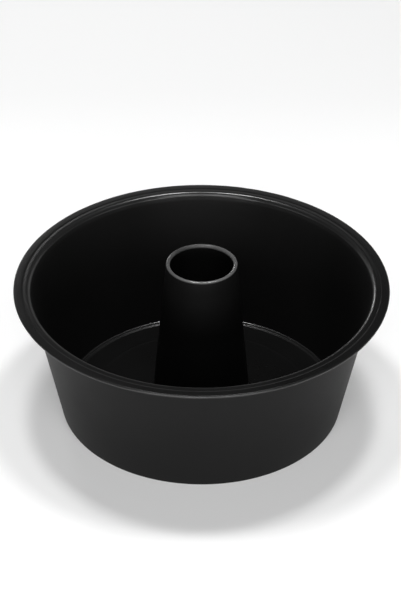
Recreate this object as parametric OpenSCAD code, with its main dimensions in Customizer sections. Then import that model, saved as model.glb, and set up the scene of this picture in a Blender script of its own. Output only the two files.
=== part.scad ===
// Two-piece angel food cake pan, pressed from black non-stick sheet.
// The loose base plate, with the centre tube crimped into it, drops into the pan from above
// and rests on the narrow ledge that the wall turns in at its foot.
// Z = 0 is the surface that the pan stands on, and the Z axis is the pan's own axis.

/* [Pan] */
// Diameter over the crest of the rounded mouth, where the rim starts
mouth_d = 253.8; // [240:0.2:270]
// Width of the rim, from the mouth's crest out over its hem
rim_w = 9.1; // [9:0.1:20]
// Height of the mouth's crest above the table
pan_h = 103; // [60:1:120]
// Diameter of the flat foot, out to where the wall bends up
foot_d = 203.6; // [190:0.2:216]
// Width of the flat ledge that the loose base rests on
ledge_w = 1.8; // [1.6:0.1:6]

/* [Sheet] */
// Thickness of the pan's sheet
pan_t = 1; // [0.6:0.05:1.15]
// Thickness of the base plate's sheet
plate_t = 1; // [0.7:0.1:1.2]
// Thickness of the tube's sheet
tube_t = 1; // [0.6:0.1:1.2]

/* [Pan bends] */
// Inside radius of the bend between the ledge and the wall
corner_r = 0.8; // [0.5:0.1:4]
// Radius of the rounded mouth, over its top
mouth_r = 3.8; // [2:0.1:5]
// Angle at which the rim falls from the mouth to its hem
rim_fall = 6; // [2:1:8]
// Radius of the shallow valley between the rim and its hem
valley_r = 3; // [2:0.1:4]
// Angle at which the valley rises to the hem
hem_rise = 14; // [4:1:16]
// Radius of the hem's inner shoulder
shoulder_r = 4; // [2:0.1:5]
// Width of the hem's flat top
hem_w = 4; // [2:0.1:5]
// Outside radius of the fold at the rim's edge
hem_r = 1.2; // [1.15:0.05:1.6]
// How far the folded sheet runs back under the hem
hem_return = 3; // [1:0.1:4]

/* [Base plate] */
// Height of the plate's underside above the table
floor_gap = 0.2; // [0.1:0.1:0.4]
// Radius of the bend that turns the plate's edge up from the ledge
lip_bend_r = 2; // [1.3:0.1:2.5]
// Angle that the plate's edge is turned up by
lip_turn = 35; // [20:5:45]
// Clearance between the plate's edge and the bend of the pan's foot
lip_gap = 0.3; // [0.2:0.05:0.5]
// Clearance between the plate's step and the edge of the ledge
step_gap = 0.3; // [0.2:0.1:1]
// Radius of the plate's pressed bends
press_r = 1.5; // [1.3:0.1:3]
// Distance from the plate's step in to the crest of the low ring pressed into the floor
ring_inset = 17.7; // [8:0.1:30]
// Height of the low ring
ring_h = 0.1; // [0.05:0.05:0.5]
// Radius of the low ring's bends
ring_bend_r = 12; // [4:1:20]
// Width of the raised flat round the tube's hole, beyond the crimp's flange
hub_w = 1; // [0.5:0.1:5]

/* [Tube] */
// Height of the tube's rolled lip above the table
tube_h = 121.5; // [80:0.5:140]
// Diameter over the rolled lip, which is flush with the tube
tube_top_d = 51.8; // [40:0.2:58]
// Diameter over the bead at the tube's foot
bead_d = 74.4; // [66:0.2:80]
// Radius of the rolled lip
roll_r = 1.5; // [1.3:0.05:2]
// How far the lip is rolled round
roll_turn = 250; // [200:5:260]

/* [Crimp] */
// Outside radius of the bead above the plate
bead_r = 1.5; // [1.3:0.1:2]
// How far the bead stands out from the tube
bead_out = 1.2; // [0.6:0.1:1.6]
// Width of the bead's flat seat on the plate
bead_seat = 1; // [0.5:0.1:2]
// Inside radius of the crimp's two folds
fold_r = 0.35; // [0.2:0.05:0.35]
// Width of the flange that is folded out under the plate
flange_w = 4.4; // [2:0.1:8]
// Clearance between the plate's hole and the folds of the crimp
hole_gap = 0.1; // [0.05:0.05:0.3]
// Height of the flange's underside above the underside of the floor
crimp_gap = 0.6; // [0.2:0.1:2]

/* [Hidden] */
$fn = 120;
// Straight steps that stand for each bend in a section
bend_steps = 10;

// Pan: heights and radii that follow from its sizes
foot_r = foot_d / 2;
ledge_r = foot_r - ledge_w;
corner_out_r = corner_r + pan_t;
corner_c = [foot_r, corner_out_r];
mouth_c = [mouth_d / 2, pan_h - mouth_r];
rim_r = mouth_d / 2 + rim_w;
// The rim runs down from the mouth to its valley, then rises to the hem's flat top
to_valley = (mouth_r + valley_r) * up_from(rim_fall);
to_shoulder = (valley_r + shoulder_r) * up_from(-hem_rise);
rim_run = rim_r - hem_r - hem_w - (mouth_c + to_valley - to_shoulder)[0];
valley_c = mouth_c + to_valley + rim_run * [1, -tan(rim_fall)];
shoulder_c = valley_c - to_shoulder;
hem_c = shoulder_c + [hem_w, shoulder_r - hem_r];
// The straight wall touches the corner's circle from inside and the mouth's circle from outside
wall_run = mouth_c - corner_c;
wall_tilt = atan2(wall_run[0], wall_run[1]) - asin((corner_r + mouth_r) / norm(wall_run));

// Base plate: the lip lies on the ledge with its edge turned up, and the floor sinks inside it.
// The edge's underside stays lip_gap inside the circle of the pan's corner
lip_z = pan_t + plate_t;
lip_under_r = lip_bend_r + plate_t;
edge_z = pan_t + lip_under_r * (1 - cos(lip_turn));
edge_reach = sqrt(max(0, (corner_r - lip_gap) ^ 2 - (edge_z - corner_c[1]) ^ 2));
lip_c = [foot_r + edge_reach - lip_under_r * sin(lip_turn), lip_z + lip_bend_r];
step_r = ledge_r - step_gap;
floor_z = floor_gap + plate_t;
ring_r = step_r - ring_inset;

// Crimp: the plate's raised hub lies between the flange below and the bead above
hub_under_z = floor_gap + crimp_gap + tube_t;
hub_z = hub_under_z + plate_t;
bead_c = [bead_d / 2 - bead_r, hub_z + bead_r];
neck_r = bead_c[0] - bead_seat - fold_r;
fold_c = neck_r + fold_r;
hole_r = fold_c + hole_gap;
flange_r = fold_c + flange_w;
hub_r = flange_r + hub_w;

// Tube: its straight side touches the rolled lip, and stands inside the bead by bead_out
roll_c = [tube_top_d / 2 - roll_r, tube_h - roll_r];
tube_run = bead_c - roll_c;
tube_side = roll_r + bead_out - bead_r;
tube_tilt = atan2(tube_run[1], tube_run[0]) + acos(tube_side / norm(tube_run));
bead_turn = acos(1 - bead_out / (2 * bead_r)) + tube_tilt;

// A sheet's section is a list of bends and ends along its marked face. Each bend has a centre, the
// marked face's radius, two angles, and a side: 1 where the centre is on the marked side, else -1.
// Angles start from outward and turn through up (90), inward (180) and down (270).
function polar(c, r, a) = [c[0] + r * cos(a), c[1] + r * sin(a)];
function bend(c, r, from, to, side) = [c, r, from, to, side];

// Square to a face that falls outward at angle a
function up_from(a) = [sin(a), cos(a)];

// A cut end of the sheet, where the other face lies straight below the marked one
function cut_end(r, z) = [[r, z], 0, 270, 270, 1];

// One face of the sheet, depth away from the marked face
function face(bends, depth) = [
    for (b = bends)
        for (i = [0 : b[2] == b[3] ? 0 : bend_steps])
            polar(b[0], b[1] + b[4] * depth, b[2] + (b[3] - b[2]) * i / bend_steps)
];

function reverse(list) = [for (i = [len(list) - 1 : -1 : 0]) list[i]];

// How far a pair of equal, opposite bends turns to climb h, and how far it then runs
function climb_turn(h, r) = acos(1 - abs(h) / (2 * r));
function climb_run(h, r) = 2 * r * sin(climb_turn(h, r));

// Going inward from r0 at height z, the sheet steps down by h
function step_down(r0, z, h, r) = [
    bend([r0, z - r], r, 90, 90 + climb_turn(h, r), -1),
    bend([r0 - climb_run(h, r), z - h + r], r, 270 + climb_turn(h, r), 270, 1)
];

// Going inward, the sheet steps up by h and is level again at r1
function step_up(r1, z, h, r) = [
    bend([r1 + climb_run(h, r), z + r], r, 270, 270 - climb_turn(h, r), 1),
    bend([r1, z + h - r], r, 90 - climb_turn(h, r), 90, -1)
];

// A low rounded ring, pressed up from a floor at height z
function pressed_ring(mid, z, h, r) = [
    bend([mid + climb_run(h, r), z + r], r, 270, 270 - climb_turn(h, r), 1),
    bend([mid, z + h - r], r, 90 - climb_turn(h, r), 90 + climb_turn(h, r), -1),
    bend([mid - climb_run(h, r), z + r], r, 270 + climb_turn(h, r), 270, 1)
];

// Turns a sheet of thickness t round the pan's axis
module spun_sheet(bends, t) {
    rotate_extrude()
        polygon(concat(face(bends, 0), reverse(face(bends, t))));
}

// Outer pan: ledge, wall, rounded mouth, and rim with its folded hem. The inside is marked.
module pan_shell() {
    color("#262627")
        spun_sheet([
            cut_end(ledge_r, pan_t),
            bend(corner_c, corner_r, 270, 360 - wall_tilt, 1),
            bend(mouth_c, mouth_r, 180 - wall_tilt, 90 - rim_fall, -1),
            bend(valley_c, valley_r, 270 - rim_fall, 270 + hem_rise, 1),
            bend(shoulder_c, shoulder_r, 90 + hem_rise, 90, -1),
            bend(hem_c, hem_r, 90, -90, -1),
            bend(hem_c - [hem_return, 0], hem_r, -90, -90, -1)
        ], pan_t);
}

// Loose base: turned-up lip, step, floor with its low ring, and hub. The top is marked.
module base_plate() {
    color("#2c2c2d")
        spun_sheet(concat(
            [bend(lip_c, lip_bend_r, 270 + lip_turn, 270, 1)],
            step_down(step_r, lip_z, lip_z - floor_z, press_r),
            pressed_ring(ring_r, floor_z, ring_h, ring_bend_r),
            step_up(hub_r, floor_z, hub_z - floor_z, press_r),
            [cut_end(hole_r, hub_z)]
        ), plate_t);
}

// Centre tube: flange, neck in the plate's hole, bead, side and rolled lip. The outside is marked.
module centre_tube() {
    color("#303031")
        spun_sheet([
            cut_end(flange_r, hub_under_z),
            bend([fold_c, hub_under_z + fold_r], fold_r, 270, 180, 1),
            bend([fold_c, hub_z - fold_r], fold_r, 180, 90, 1),
            bend(bead_c, bead_r, -90, bead_turn, -1),
            bend(polar(bead_c, 2 * bead_r, bead_turn), bead_r, 180 + bead_turn, 180 + tube_tilt, 1),
            bend(roll_c, roll_r, tube_tilt, tube_tilt + roll_turn, -1)
        ], tube_t);
}

pan_shell();
base_plate();
centre_tube();
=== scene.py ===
import math
import bmesh
import bpy
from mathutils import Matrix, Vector


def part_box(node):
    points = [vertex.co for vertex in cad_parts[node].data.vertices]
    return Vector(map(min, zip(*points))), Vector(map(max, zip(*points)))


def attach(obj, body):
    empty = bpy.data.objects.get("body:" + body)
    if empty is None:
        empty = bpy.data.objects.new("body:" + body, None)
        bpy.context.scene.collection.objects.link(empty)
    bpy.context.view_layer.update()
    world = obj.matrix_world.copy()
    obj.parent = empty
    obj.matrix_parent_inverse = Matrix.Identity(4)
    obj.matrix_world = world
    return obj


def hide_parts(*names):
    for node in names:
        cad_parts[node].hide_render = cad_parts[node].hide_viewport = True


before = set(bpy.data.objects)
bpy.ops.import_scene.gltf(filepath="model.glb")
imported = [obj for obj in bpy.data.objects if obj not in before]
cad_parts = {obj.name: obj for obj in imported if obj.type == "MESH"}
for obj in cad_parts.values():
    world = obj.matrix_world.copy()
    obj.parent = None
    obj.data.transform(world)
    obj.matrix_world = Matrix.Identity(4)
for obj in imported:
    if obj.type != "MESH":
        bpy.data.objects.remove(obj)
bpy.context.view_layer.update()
print("frame loaded")

mm = 0.001
quarter = math.pi / 2

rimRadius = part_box("pan_shell")[1].x
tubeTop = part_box("centre_tube")[1].z

look = {
    "aim": (-0.00075, 0, 0.0887),    # the point on the pan's axis at the middle of the picture
    "distance": 1.896,
    "elevation": 34.6,               # degrees above the table
    "roll": 0.22,                    # degrees, the right side a touch lower
    "lens": 156.4,
    "sensor": 36,
    "farthest": 20,
}


def placeCamera():
    camData = bpy.data.cameras.new("photoCamera")
    cam = bpy.data.objects.new("photoCamera", camData)
    bpy.context.scene.collection.objects.link(cam)
    tilt = math.radians(look["elevation"])
    back = Vector((0, -math.cos(tilt), math.sin(tilt)))
    cam.location = Vector(look["aim"]) + back * look["distance"]
    cam.rotation_euler = back.to_track_quat("Z", "Y").to_euler()
    cam.rotation_euler.rotate_axis("Z", math.radians(look["roll"]))
    camData.sensor_width = look["sensor"]
    camData.lens = look["lens"]
    camData.clip_end = look["farthest"]
    bpy.context.scene.camera = cam
    print("camera placed")


placeCamera()


# Sheet sections. A section is a list of bends along one face of the sheet:
# (centre, radius, first angle, last angle, side), side 1 where the centre is on that face's side.
def polar(centre, radius, angle):
    return Vector((centre[0] + radius * math.cos(angle), centre[1] + radius * math.sin(angle)))


def face(bends, depth, steps):
    points = []
    for centre, radius, start, end, side in bends:
        count = 1 if start == end else steps
        for i in range(count):
            t = i / max(count - 1, 1)
            points.append(polar(centre, radius + side * depth, start + (end - start) * t))
    return points


def cutEnd(radius, height):
    return ((radius, height), 0, -quarter, -quarter, 1)


def climbTurn(climb, radius):
    return math.acos(1 - abs(climb) / (2 * radius))


def climbRun(climb, radius):
    return 2 * radius * math.sin(climbTurn(climb, radius))


def stepDown(start, height, climb, radius):
    turn = climbTurn(climb, radius)
    run = climbRun(climb, radius)
    return [
        ((start, height - radius), radius, quarter, quarter + turn, -1),
        ((start - run, height - climb + radius), radius, -quarter + turn, -quarter, 1),
    ]


def stepUp(end, height, climb, radius):
    turn = climbTurn(climb, radius)
    run = climbRun(climb, radius)
    return [
        ((end + run, height + radius), radius, -quarter, -quarter - turn, 1),
        ((end, height + climb - radius), radius, quarter - turn, quarter, -1),
    ]


def pressedRing(middle, height, climb, radius):
    turn = climbTurn(climb, radius)
    run = climbRun(climb, radius)
    return [
        ((middle + run, height + radius), radius, -quarter, -quarter - turn, 1),
        ((middle, height + climb - radius), radius, quarter - turn, quarter + turn, -1),
        ((middle - run, height + radius), radius, -quarter + turn, -quarter, 1),
    ]


def roundedOutline(points, radius, steps=4):     # softens the two cut edges of the sheet
    sharpest = math.radians(120)
    mostOfSide = 0.45
    outline = []
    count = len(points)
    for i, point in enumerate(points):
        before = points[i - 1] - point
        after = points[(i + 1) % count] - point
        sharp = before.length > 0 and after.length > 0 and before.angle(after) < sharpest
        if not sharp:
            outline.append(point)
            continue
        reach = min(radius, before.length * mostOfSide, after.length * mostOfSide)
        first = point + before.normalized() * reach
        last = point + after.normalized() * reach
        for k in range(steps + 1):
            t = k / steps
            outline.append((1 - t) ** 2 * first + 2 * t * (1 - t) * point + t ** 2 * last)
    return outline


def splitLongRuns(points, longest):              # extra rings on the long straight walls
    outline = []
    for i, point in enumerate(points):
        follow = points[(i + 1) % len(points)]
        pieces = max(1, math.ceil((follow - point).length / longest))
        outline.extend(point.lerp(follow, k / pieces) for k in range(pieces))
    return outline


def spinSheet(name, bends, thickness, turns, steps=13, edge=0.25 * mm, longestRun=9 * mm):
    outline = face(bends, 0, steps) + face(bends, thickness, steps)[::-1]
    outline = splitLongRuns(roundedOutline(outline, edge), longestRun)
    mesh = bmesh.new()
    rings = []
    for k in range(turns):
        angle = 2 * math.pi * k / turns
        c, s = math.cos(angle), math.sin(angle)
        rings.append([mesh.verts.new((p.x * c, p.x * s, p.y)) for p in outline])
    for k in range(turns):
        ring, nextRing = rings[k], rings[(k + 1) % turns]
        for i in range(len(outline)):
            j = (i + 1) % len(outline)
            mesh.faces.new((ring[i], nextRing[i], nextRing[j], ring[j]))
    bmesh.ops.recalc_face_normals(mesh, faces=mesh.faces)
    for f in mesh.faces:
        f.smooth = True
    data = bpy.data.meshes.new(name)
    mesh.to_mesh(data)
    mesh.free()
    piece = bpy.data.objects.new(name, data)
    bpy.context.scene.collection.objects.link(piece)
    return piece


panSheet = {
    "thickness": 1.0 * mm,
    "footRadius": 101.8 * mm,
    "ledge": 1.8 * mm,
    "cornerRadius": 0.8 * mm,
    "crest": 103.0 * mm,                 # height of the mouth's top
    "mouthMiddle": 126.9 * mm,
    "mouthRadius": 3.8 * mm,
    "flangeSlope": math.radians(6),      # the flange falls a little from the mouth to its hem
    "valleyRadius": 3 * mm,
    "hemSlope": math.radians(14),        # and rises again where the hem starts
    "hemShoulder": 4 * mm,
    "hemWidth": 4 * mm,
    "hemRadius": 1.2 * mm,
    "hemReturn": 3 * mm,
}


def slopeNormal(slope):                          # up from a face that falls outward at this slope
    return Vector((math.sin(slope), math.cos(slope)))


def makePanShell():
    s = panSheet
    t = s["thickness"]
    fall, rise = s["flangeSlope"], s["hemSlope"]
    corner = Vector((s["footRadius"], s["cornerRadius"] + t))
    mouth = Vector((s["mouthMiddle"], s["crest"] - s["mouthRadius"]))
    run = mouth - corner
    tilt = math.atan2(run.x, run.y) - math.asin((s["cornerRadius"] + s["mouthRadius"]) / run.length)
    toValley = (s["mouthRadius"] + s["valleyRadius"]) * slopeNormal(fall)
    toShoulder = (s["valleyRadius"] + s["hemShoulder"]) * slopeNormal(-rise)
    flat = rimRadius - s["hemRadius"] - s["hemWidth"] - (mouth + toValley - toShoulder).x
    valley = mouth + toValley + flat * Vector((1, -math.tan(fall)))
    shoulder = valley - toShoulder
    hem = shoulder + Vector((s["hemWidth"], s["hemShoulder"] - s["hemRadius"]))
    bends = [
        cutEnd(s["footRadius"] - s["ledge"], t),
        (corner, s["cornerRadius"], -quarter, -tilt, 1),
        (mouth, s["mouthRadius"], math.pi - tilt, quarter - fall, -1),
        (valley, s["valleyRadius"], -quarter - fall, -quarter + rise, 1),
        (shoulder, s["hemShoulder"], quarter + rise, quarter, -1),
        (hem, s["hemRadius"], quarter, -quarter, -1),
        (hem - Vector((s["hemReturn"], 0)), s["hemRadius"], -quarter, -quarter, -1),
    ]
    return spinSheet("panShell", bends, t, turns=384)


plateSheet = {
    "thickness": 1.0 * mm,
    "floorGap": 0.2 * mm,
    "lipGap": 0.3 * mm,
    "lipBend": 2 * mm,                   # the plate's edge turns up a little where it meets the wall
    "lipTurn": math.radians(35),
    "stepGap": 0.3 * mm,
    "pressRadius": 1.5 * mm,
    "ringInset": 17.7 * mm,
    "ringHeight": 0.1 * mm,
    "ringBend": 12 * mm,
    "hubMargin": 1.0 * mm,
}

tubeSheet = {
    "thickness": 1.0 * mm,
    "topRadius": 25.9 * mm,
    "beadEdge": 37.2 * mm,
    "rollRadius": 1.5 * mm,
    "rollTurn": math.radians(250),
    "beadRadius": 1.5 * mm,
    "beadOut": 1.2 * mm,
    "beadSeat": 1.0 * mm,
    "foldRadius": 0.35 * mm,
    "flange": 4.4 * mm,
    "holeGap": 0.1 * mm,
    "crimpGap": 0.6 * mm,
}


def crimp():                                     # where the tube grips the plate's hole
    p, s = plateSheet, tubeSheet
    hubUnder = p["floorGap"] + s["crimpGap"] + s["thickness"]
    hubTop = hubUnder + p["thickness"]
    bead = Vector((s["beadEdge"] - s["beadRadius"], hubTop + s["beadRadius"]))
    foldMiddle = bead.x - s["beadSeat"]
    return hubUnder, hubTop, bead, foldMiddle


def makeBasePlate():
    s = plateSheet
    t = s["thickness"]
    lipHeight = panSheet["thickness"] + t
    floorHeight = s["floorGap"] + t
    _, hubTop, _, foldMiddle = crimp()
    hubRadius = foldMiddle + tubeSheet["flange"] + s["hubMargin"]
    stepRadius = panSheet["footRadius"] - panSheet["ledge"] - s["stepGap"]
    under = s["lipBend"] + t
    corner = panSheet["cornerRadius"]
    edgeHeight = panSheet["thickness"] + under * (1 - math.cos(s["lipTurn"]))
    edgeDrop = panSheet["thickness"] + corner - edgeHeight
    edgeReach = math.sqrt((corner - s["lipGap"]) ** 2 - edgeDrop ** 2)
    lipMiddle = panSheet["footRadius"] + edgeReach - under * math.sin(s["lipTurn"])
    lip = (lipMiddle, lipHeight + s["lipBend"])
    bends = [(lip, s["lipBend"], -quarter + s["lipTurn"], -quarter, 1)]
    bends += stepDown(stepRadius, lipHeight, lipHeight - floorHeight, s["pressRadius"])
    bends += pressedRing(stepRadius - s["ringInset"], floorHeight, s["ringHeight"], s["ringBend"])
    bends += stepUp(hubRadius, floorHeight, hubTop - floorHeight, s["pressRadius"])
    bends += [cutEnd(foldMiddle + tubeSheet["holeGap"], hubTop)]
    return spinSheet("basePlate", bends, t, turns=288)


def makeCentreTube():
    s = tubeSheet
    hubUnder, hubTop, bead, foldMiddle = crimp()
    fold = s["foldRadius"]
    roll = Vector((s["topRadius"] - s["rollRadius"], tubeTop - s["rollRadius"]))
    run = bead - roll
    side = s["rollRadius"] + s["beadOut"] - s["beadRadius"]
    tilt = math.atan2(run.y, run.x) + math.acos(side / run.length)
    beadTurn = math.acos(1 - s["beadOut"] / (2 * s["beadRadius"])) + tilt
    waist = polar(bead, 2 * s["beadRadius"], beadTurn)
    bends = [
        cutEnd(foldMiddle + s["flange"], hubUnder),
        ((foldMiddle, hubUnder + fold), fold, 3 * quarter, math.pi, 1),
        ((foldMiddle, hubTop - fold), fold, math.pi, quarter, 1),
        (bead, s["beadRadius"], -quarter, beadTurn, -1),
        (waist, s["beadRadius"], math.pi + beadTurn, math.pi + tilt, 1),
        (roll, s["rollRadius"], tilt, tilt + s["rollTurn"], -1),
    ]
    return spinSheet("centreTube", bends, s["thickness"], turns=192)


panShell = makePanShell()
basePlate = makeBasePlate()
centreTube = makeCentreTube()
print("sheets spun:", [len(sheet.data.polygons) for sheet in (panShell, basePlate, centreTube)])


def newGroup(name, inputs, outputs):
    group = bpy.data.node_groups.new(name, "ShaderNodeTree")
    for label, kind, value in inputs:
        socket = group.interface.new_socket(label, in_out="INPUT", socket_type=kind)
        socket.default_value = value
    for label, kind in outputs:
        group.interface.new_socket(label, in_out="OUTPUT", socket_type=kind)
    start = group.nodes.new("NodeGroupInput")
    end = group.nodes.new("NodeGroupOutput")
    return group, start, end


def calc(tree, operation, a, b=0, clamp=False):
    node = tree.nodes.new("ShaderNodeMath")
    node.operation = operation
    node.use_clamp = clamp
    for socket, value in zip(node.inputs, (a, b)):
        if isinstance(value, (int, float)):
            socket.default_value = value
        else:
            tree.links.new(value, socket)
    return node.outputs[0]


def vectorCalc(tree, operation, a, b=None, output="Vector"):
    node = tree.nodes.new("ShaderNodeVectorMath")
    node.operation = operation
    for socket, value in zip(node.inputs, (a, b)):
        if isinstance(value, tuple):
            socket.default_value = value
        elif value is not None:
            tree.links.new(value, socket)
    return node.outputs[output]


def noise(tree, where, scale, detail):
    node = tree.nodes.new("ShaderNodeTexNoise")
    node.inputs["Detail"].default_value = detail
    tree.links.new(where, node.inputs["Vector"])
    tree.links.new(scale, node.inputs["Scale"])
    return node.outputs["Fac"]


def placeGroup(tree, group, values):
    node = tree.nodes.new("ShaderNodeGroup")
    node.node_tree = group
    for label, value in values.items():
        node.inputs[label].default_value = value
    return node.outputs


def makeCoatGrain():                             # the fine pebble of a sprayed and baked coating
    group, start, end = newGroup(
        "coatGrain",
        [("Grain Scale", "NodeSocketFloat", 900.0), ("Cloud Scale", "NodeSocketFloat", 14.0)],
        [("Height", "NodeSocketFloat"), ("Cloud", "NodeSocketFloat")],
    )
    where = group.nodes.new("ShaderNodeTexCoord").outputs["Object"]
    fine = noise(group, where, start.outputs["Grain Scale"], detail=2)
    cloud = noise(group, where, start.outputs["Cloud Scale"], detail=4)
    group.links.new(fine, end.inputs["Height"])
    group.links.new(cloud, end.inputs["Cloud"])
    return group


# How far a bend's coating counts as rubbed, partly real wear and partly painted sheen: full near the
# bend's ring, patchy along it, and stronger towards one side, where it paints the highlights
# brighter
def makeRubSheenBend():
    group, start, end = newGroup(
        "rubSheenBend",
        [("Ring Radius", "NodeSocketFloat", 0.1), ("Ring Height", "NodeSocketFloat", 0.1),
         ("Reach", "NodeSocketFloat", 0.004), ("Fade", "NodeSocketFloat", 0.001),
         ("Patch Scale", "NodeSocketFloat", 60.0), ("All Round", "NodeSocketFloat", 1.0),
         ("Side", "NodeSocketVector", (0.0, 0.0, 0.0))],
        [("RubAndSheen", "NodeSocketFloat")],
    )
    where = group.nodes.new("ShaderNodeTexCoord").outputs["Object"]
    split = group.nodes.new("ShaderNodeSeparateXYZ")
    group.links.new(where, split.inputs["Vector"])
    flat = vectorCalc(group, "MULTIPLY", where, (1, 1, 0))
    radius = vectorCalc(group, "LENGTH", flat, output="Value")
    outward = calc(group, "SUBTRACT", radius, start.outputs["Ring Radius"])
    upward = calc(group, "SUBTRACT", split.outputs["Z"], start.outputs["Ring Height"])
    squares = calc(group, "ADD", calc(group, "POWER", outward, 2), calc(group, "POWER", upward, 2))
    inside = calc(group, "SUBTRACT", start.outputs["Reach"], calc(group, "SQRT", squares))
    near = calc(group, "DIVIDE", inside, start.outputs["Fade"], clamp=True)
    patch = noise(group, where, start.outputs["Patch Scale"], detail=5)
    contrast, least = 1.2, 0.3                   # the patches never fade to nothing
    patchy = calc(group, "ADD", calc(group, "MULTIPLY", patch, contrast), least, clamp=True)
    facing = vectorCalc(group, "DOT_PRODUCT", flat, start.outputs["Side"], output="Value")
    lean = calc(group, "DIVIDE", facing, radius)
    sided = calc(group, "ADD", lean, start.outputs["All Round"], clamp=True)
    rubWithSheen = calc(group, "MULTIPLY", calc(group, "MULTIPLY", near, patchy), sided)
    group.links.new(rubWithSheen, end.inputs["RubAndSheen"])
    return group


def makeUprightFace():                           # 1 on upright walls, 0 on flats and floors
    group, start, end = newGroup("uprightFace", [], [("Upright", "NodeSocketFloat")])
    where = group.nodes.new("ShaderNodeTexCoord")
    flat = vectorCalc(group, "MULTIPLY", where.outputs["Object"], (1, 1, 0))
    outward = vectorCalc(group, "NORMALIZE", flat)
    facing = vectorCalc(group, "DOT_PRODUCT", outward, where.outputs["Normal"], output="Value")
    group.links.new(calc(group, "ABSOLUTE", facing), end.inputs["Upright"])
    return group


coatGrain = makeCoatGrain()
rubSheenBend = makeRubSheenBend()
uprightFace = makeUprightFace()


def mixColour(tree, factor, a, b):
    node = tree.nodes.new("ShaderNodeMix")
    node.data_type = "RGBA"
    tree.links.new(factor, node.inputs["Factor"])
    for label, value in (("A", a), ("B", b)):
        if isinstance(value, tuple):
            node.inputs[label].default_value = (*value, 1)
        else:
            tree.links.new(value, node.inputs[label])
    return node.outputs["Result"]


def makeCoating(name, finish, bends):
    material = bpy.data.materials.new(name)
    material.use_nodes = True
    tree = material.node_tree
    shader = tree.nodes["Principled BSDF"]
    scales = {"Grain Scale": finish["grain"], "Cloud Scale": finish["cloud"]}
    grain = placeGroup(tree, coatGrain, scales)
    upright = placeGroup(tree, uprightFace, {})["Upright"]

    # the rub mask of all bends, which also paints sheen onto them
    rubSheen = None
    for bend in bends.values():
        ring = placeGroup(tree, rubSheenBend, {
            "Ring Radius": bend["radius"],
            "Ring Height": bend["height"],
            "Reach": bend["reach"],
            "Fade": bend["fade"],
            "All Round": bend["allRound"],
            "Side": bend["side"],
        })
        rubWithSheen = calc(tree, "MULTIPLY", ring["RubAndSheen"], bend["share"])
        rubSheen = rubWithSheen if rubSheen is None else calc(tree, "MAXIMUM", rubSheen, rubWithSheen)

    bump = tree.nodes.new("ShaderNodeBump")
    bump.inputs["Strength"].default_value = finish["bump"]
    bump.inputs["Distance"].default_value = finish["grainDepth"]
    tree.links.new(grain["Height"], bump.inputs["Height"])
    tree.links.new(bump.outputs["Normal"], shader.inputs["Normal"])

    mottle = mixColour(tree, grain["Cloud"], finish["dark"], finish["light"])
    # lighter colour on the bends: partly wear, partly painted sheen
    tree.links.new(mixColour(tree, rubSheen, mottle, finish["rubSheen"]), shader.inputs["Base Color"])

    spread = calc(tree, "MULTIPLY", grain["Cloud"], finish["patchy"])
    rough = calc(tree, "ADD", spread, finish["roughness"] - finish["patchy"] / 2)
    rough = calc(tree, "ADD", rough, calc(tree, "MULTIPLY", upright, finish["walls"]))
    rough = calc(tree, "SUBTRACT", rough, calc(tree, "MULTIPLY", rubSheen, finish["smoother"]))
    tree.links.new(rough, shader.inputs["Roughness"])

    if finish["bare"]:
        tree.links.new(calc(tree, "MULTIPLY", rubSheen, finish["bare"]), shader.inputs["Metallic"])
    tree.links.new(calc(tree, "MULTIPLY", rubSheen, finish["polish"]), shader.inputs["Coat Weight"])
    shader.inputs["Specular IOR Level"].default_value = finish["gloss"]
    shader.inputs["Coat Roughness"].default_value = finish["polishRoughness"]
    return material


panFinish = {
    "dark": (0.0028, 0.0028, 0.0028),
    "light": (0.0048, 0.0048, 0.0048),
    # lighter colour on the rubbed bends: partly wear, partly painted sheen
    "rubSheen": (0.008, 0.008, 0.008),
    "bare": 0,                           # share of bare metal where the rub and painted sheen are strongest
    "gloss": 0.14,
    "roughness": 0.28,
    "walls": 0.26,                       # how much rougher the upright walls are
    "smoother": 0.06,                    # how much less rough where the rub and painted sheen are strongest
    "patchy": 0.18,                      # how far the roughness drifts from place to place
    "polish": 0.9,                       # how much clear gloss the rubbed, sheen-painted bends take
    "polishRoughness": 0.2,
    "grain": 900.0,
    "cloud": 14.0,
    "bump": 0.8,
    "grainDepth": 0.03 * mm,
}
# the tube's lip is lighter and part bare metal where rubbed: partly wear, partly painted highlight
tubeFinish = dict(panFinish, rubSheen=(0.12, 0.12, 0.12), bare=0.28, gloss=0.045,
                  roughness=0.48, walls=0, smoother=0.3, polish=0.35)

# Bends where the coating is rubbed smooth and painted lighter, partly wear and partly painted sheen
# that brightens the highlights on them. The rub reaches this far from its ring and fades over the
# last part of that. share says how full it is, allRound how strong on every side, and side adds to
# it towards one, where more painted sheen is wanted.
panBends = {
    "mouth": {
        "radius": 126.2 * mm, "height": 99.0 * mm, "reach": 4.1 * mm, "fade": 0.5 * mm,
        "share": 1, "allRound": 0.6, "side": (0, 0.4, 0),
    },
    "hem": {
        "radius": 135.1 * mm, "height": 101.5 * mm, "reach": 1.5 * mm, "fade": 0.4 * mm,
        "share": 0.8, "allRound": 0.2, "side": (0, -0.9, 0),
    },
}
plateBends = {
    "step": {
        "radius": 99.7 * mm, "height": 0.5 * mm, "reach": 1.8 * mm, "fade": 0.4 * mm,
        "share": 0.7, "allRound": 1, "side": (0, 0, 0),
    },
    "edge": {
        "radius": 100.5 * mm, "height": 4.0 * mm, "reach": 2.5 * mm, "fade": 0.5 * mm,
        "share": 1, "allRound": 1, "side": (0, 0, 0),
    },
}
tubeBends = {
    "lip": {
        "radius": 24.1 * mm, "height": 120.5 * mm, "reach": 1.75 * mm, "fade": 0.4 * mm,
        "share": 1, "allRound": 0.8, "side": (0.2, -0.3, 0),
    },
}

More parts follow.
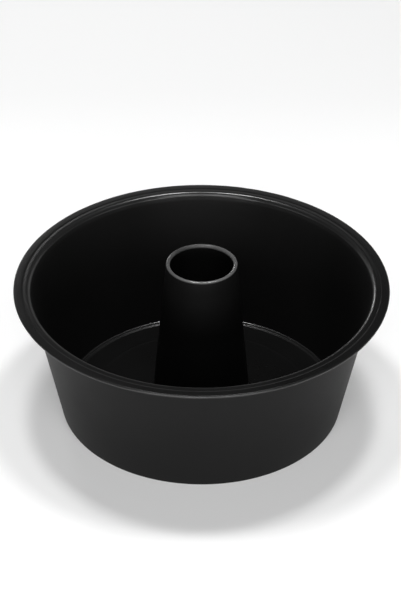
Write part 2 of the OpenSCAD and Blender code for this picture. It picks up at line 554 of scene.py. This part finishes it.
for piece, finish, bends, body, slot, node in (
    (panShell, panFinish, panBends, "shell", "pan_coating", "pan_shell"),
    (basePlate, panFinish, plateBends, "loose_base", "base_coating", "base_plate"),
    (centreTube, tubeFinish, tubeBends, "loose_base", "tube_coating", "centre_tube"),
):
    piece.data.materials.append(makeCoating(piece.name + "Coat", finish, bends))
    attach(piece, body)
    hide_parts(node)
print("coatings made")

studio = {
    "floorSize": 4.2,
    "floorColour": (0.75, 0.75, 0.75),
    "floorRoughness": 0.9,
    "floorWhite": 0.16,              # what the camera and reflections see on top of the lit floor
    "coveWhite": 0.9,                # a low white cove all round
    "coveTop": 1.5,                  # degrees
    "dimFrom": 7,                    # degrees; above this the studio is dim
    "dimLight": 0.05,
    "lampAim": (0, 0, 0.06),
}

# Softboxes, each turned to the pan
lamps = {
    "overheadLeft": {"place": (-0.25, 0.25, 1.7), "size": (0.22, 0.3), "power": 11},
    "overheadRight": {"place": (0.25, 0.25, 1.7), "size": (0.22, 0.3), "power": 11},
    "rearLeft": {"place": (-0.49, 1.51, 0.61), "size": (0.25, 0.2), "power": 3},
    "rearCard": {"place": (0, 0.36, 0.215), "size": (0.9, 0.11), "power": 0.22},
    "frontLow": {"place": (0, -2.24, 0.39), "size": (3.36, 0.64), "power": 54},
    "sideLeft": {"place": (-1.4, -0.8, 0.22), "size": (0.8, 0.35), "power": 1.2},
    "sideRight": {"place": (1.4, -0.8, 0.22), "size": (0.8, 0.35), "power": 1.2},
    "frontTop": {"place": (0, -1.89, 1.54), "size": (1.96, 1.26), "power": 26},
}


def makeFloor():
    half = studio["floorSize"] / 2
    data = bpy.data.meshes.new("studioFloor")
    corners = [(-half, -half, 0), (half, -half, 0), (half, half, 0), (-half, half, 0)]
    data.from_pydata(corners, [], [(0, 1, 2, 3)])
    floor = bpy.data.objects.new("studioFloor", data)
    bpy.context.scene.collection.objects.link(floor)
    material = bpy.data.materials.new("paleFloor")
    material.use_nodes = True
    tree = material.node_tree
    shader = tree.nodes["Principled BSDF"]
    shader.inputs["Base Color"].default_value = (*studio["floorColour"], 1)
    shader.inputs["Roughness"].default_value = studio["floorRoughness"]
    shader.inputs["Specular IOR Level"].default_value = 0.0
    shader.inputs["Emission Color"].default_value = (1, 1, 1, 1)
    path = tree.nodes.new("ShaderNodeLightPath").outputs
    seen = calc(tree, "MAXIMUM", path["Is Camera Ray"], path["Is Glossy Ray"])
    seen = calc(tree, "MAXIMUM", seen, path["Is Transmission Ray"])
    white = calc(tree, "MULTIPLY", seen, studio["floorWhite"])
    tree.links.new(white, shader.inputs["Emission Strength"])
    data.materials.append(material)


def makeWorld():                                 # a low white cove all round, dim above it
    world = bpy.data.worlds.new("studioWorld")
    bpy.context.scene.world = world
    world.use_nodes = True
    tree = world.node_tree
    background = tree.nodes["Background"]
    where = tree.nodes.new("ShaderNodeTexCoord")
    split = tree.nodes.new("ShaderNodeSeparateXYZ")
    fade = tree.nodes.new("ShaderNodeMapRange")
    fade.interpolation_type = "SMOOTHSTEP"
    fade.inputs["From Min"].default_value = math.sin(math.radians(studio["coveTop"]))
    fade.inputs["From Max"].default_value = math.sin(math.radians(studio["dimFrom"]))
    fade.inputs["To Min"].default_value = studio["coveWhite"]
    fade.inputs["To Max"].default_value = studio["dimLight"]
    tree.links.new(where.outputs["Generated"], split.inputs["Vector"])
    tree.links.new(split.outputs["Z"], fade.inputs["Value"])
    tree.links.new(fade.outputs["Result"], background.inputs["Strength"])
    background.inputs["Color"].default_value = (1, 1, 1, 1)


def makeLamps():
    for name, lamp in lamps.items():
        data = bpy.data.lights.new(name, "AREA")
        data.shape = "RECTANGLE"
        data.size, data.size_y = lamp["size"]
        data.energy = lamp["power"]
        softbox = bpy.data.objects.new(name, data)
        softbox.location = lamp["place"]
        back = Vector(lamp["place"]) - Vector(studio["lampAim"])
        softbox.rotation_euler = back.to_track_quat("Z", "Y").to_euler()
        softbox.visible_camera = False
        bpy.context.scene.collection.objects.link(softbox)


makeFloor()
makeWorld()
makeLamps()
bpy.context.scene.view_settings.view_transform = "Standard"
print("studio set")
